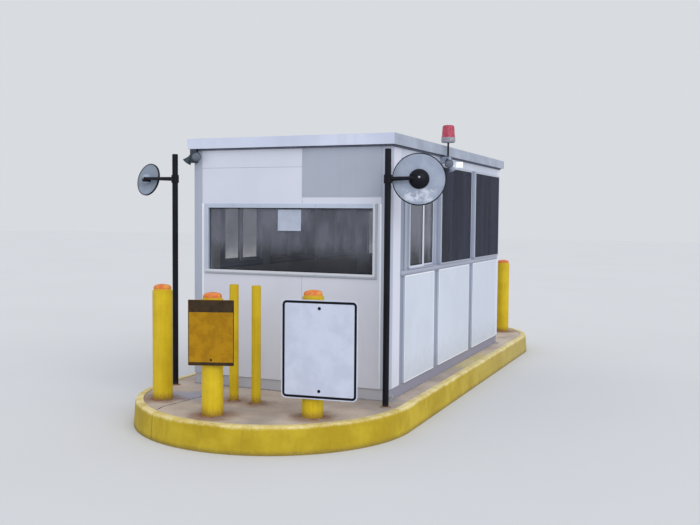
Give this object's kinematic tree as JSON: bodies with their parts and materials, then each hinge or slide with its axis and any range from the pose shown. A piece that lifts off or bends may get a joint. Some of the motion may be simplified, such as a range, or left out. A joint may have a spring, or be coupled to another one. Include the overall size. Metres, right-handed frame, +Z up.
{
  "type": "security guard booth on a kerbed island",
  "caption": "Flat-roofed guard booth with glazed sides on a round-ended kerbed concrete island, with bollards, blank sign plates, two traffic mirrors and a red warning light.",
  "frame": {"origin": "centre of the island's flat underside, at road level", "axes": "+X to the right of the booth's front wall, +Y from the front wall to the rear wall along the island, +Z up"},
  "size_m": [3.0616, 7.0398, 2.667],
  "materials": {
    "concrete": "worn brownish grey concrete with rust stains",
    "kerb_yellow": "worn yellow paint on concrete",
    "white_panel": "satin white enamel",
    "grey_frame": "satin grey enamel",
    "base_grey": "weathered grey paint on steel",
    "window_frame": "white painted aluminium",
    "clear_glass": "clear, dark inside",
    "roof_white": "satin pale grey enamel",
    "floor_covering": "matt floor sheet",
    "board_grey": "matt grey board, left blank",
    "door_metal": "satin steel",
    "beacon_red": "ribbed red lens",
    "beacon_grey": "grey cast base",
    "lamp_grey": "weathered grey lamp holders",
    "lamp_white": "white diffuser",
    "black_paint": "satin black",
    "mirror_back": "grey pressed back, mirrored face",
    "rim_rubber": "black rubber edge",
    "bollard_yellow": "safety yellow, worn at the foot",
    "crown_orange": "orange painted concrete crown",
    "sign_white": "white plate with a black border, left blank",
    "sign_ochre": "ochre plate with dark bands, left blank",
    "bracket_steel": "galvanised"
  },
  "bodies": {
    "root": {"island_slab": "concrete", "kerb_noses": "kerb_yellow", "kerb_sides": "kerb_yellow", "base_frame": "base_grey", "floor": "floor_covering", "front_corners": "white_panel", "rear_corners": "white_panel", "front_wall": "white_panel", "front_window_frame": "window_frame", "front_window_glass": "clear_glass", "gate_board": "board_grey", "side_posts": "grey_frame", "side_rails": "window_frame", "side_lower_panels": "white_panel", "side_window_frames": "window_frame", "side_sashes": "window_frame", "side_glass": "clear_glass", "rear_wall": "white_panel", "rear_window_frame": "window_frame", "rear_glass": "clear_glass", "door_frame": "grey_frame", "door_leaf": "white_panel", "door_hinges": "door_metal", "door_handle": "door_metal", "roof_panel": "roof_white", "roof_fascia": "roof_white", "beacon_bracket": "black_paint", "beacon_base": "beacon_grey", "beacon_lens": "beacon_red", "floodlights": "lamp_grey", "eave_lamp": "lamp_white", "mirror_posts": "black_paint", "mirror_arms": "black_paint", "traffic_mirrors": "mirror_back", "mirror_rims": "rim_rubber", "bollards": "bollard_yellow", "bollard_crowns": "crown_orange", "narrow_posts": "bollard_yellow", "speed_sign": "sign_white", "caution_sign": "sign_ochre", "sign_brackets": "bracket_steel"}
  },
  "joints": []
}
